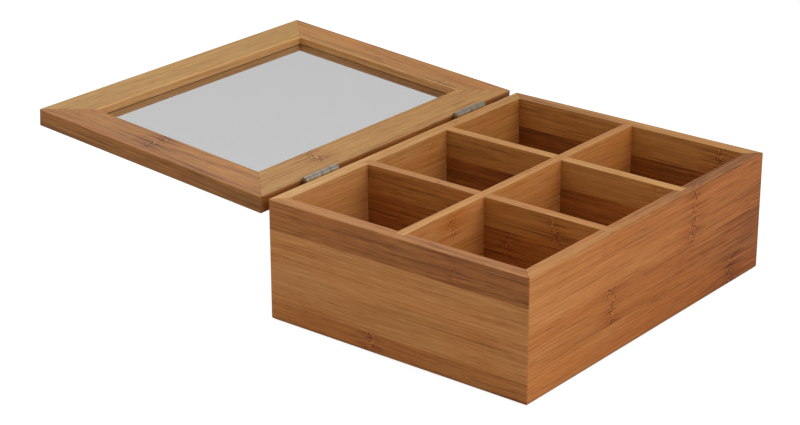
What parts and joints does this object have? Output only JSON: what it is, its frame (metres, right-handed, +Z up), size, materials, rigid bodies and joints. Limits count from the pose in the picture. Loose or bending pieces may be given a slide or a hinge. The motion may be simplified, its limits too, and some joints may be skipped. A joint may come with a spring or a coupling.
{
  "type": "tea box",
  "caption": "Wooden tea box with mitred walls, lapped dividers that make open compartments, and a hinged framed lid with a clear window, standing open.",
  "frame": {"origin": "the middle of the box's underside", "axes": "+X along the hinge line, to the right as seen from the front; the front of the box faces -Y and the open lid reaches out along +Y; +Z up"},
  "size_m": [0.2408, 0.3706, 0.0886],
  "materials": {
    "bamboo_walls": "satin lacquered bamboo",
    "bamboo_dividers": "satin lacquered bamboo",
    "bamboo_bottom": "satin lacquered bamboo",
    "bamboo_lid": "satin lacquered bamboo",
    "window": "clear, polished",
    "hinge_steel": "satin",
    "pin_steel": "satin",
    "screw_steel": "satin"
  },
  "bodies": {
    "box": {"front_wall": "bamboo_walls", "back_wall": "bamboo_walls", "left_wall": "bamboo_walls", "right_wall": "bamboo_walls", "bottom_panel": "bamboo_bottom", "centre_divider": "bamboo_dividers", "left_cross_divider": "bamboo_dividers", "right_cross_divider": "bamboo_dividers", "left_hinge_box_leaf": "hinge_steel", "right_hinge_box_leaf": "hinge_steel", "left_hinge_pin": "pin_steel", "right_hinge_pin": "pin_steel", "box_leaf_screws": "screw_steel"},
    "lid": {"lid_front_rail": "bamboo_lid", "lid_back_rail": "bamboo_lid", "lid_left_stile": "bamboo_lid", "lid_right_stile": "bamboo_lid", "lid_pane": "window", "left_hinge_lid_leaf": "hinge_steel", "right_hinge_lid_leaf": "hinge_steel", "lid_leaf_screws": "screw_steel"}
  },
  "joints": [
    {"name": "lid_hinge", "type": "hinge", "parent": "box", "child": "lid", "pos_m": [0, 0.09325, 0.07515], "axis": [1, 0, 0], "range_deg": [0, 175.8]}
  ]
}
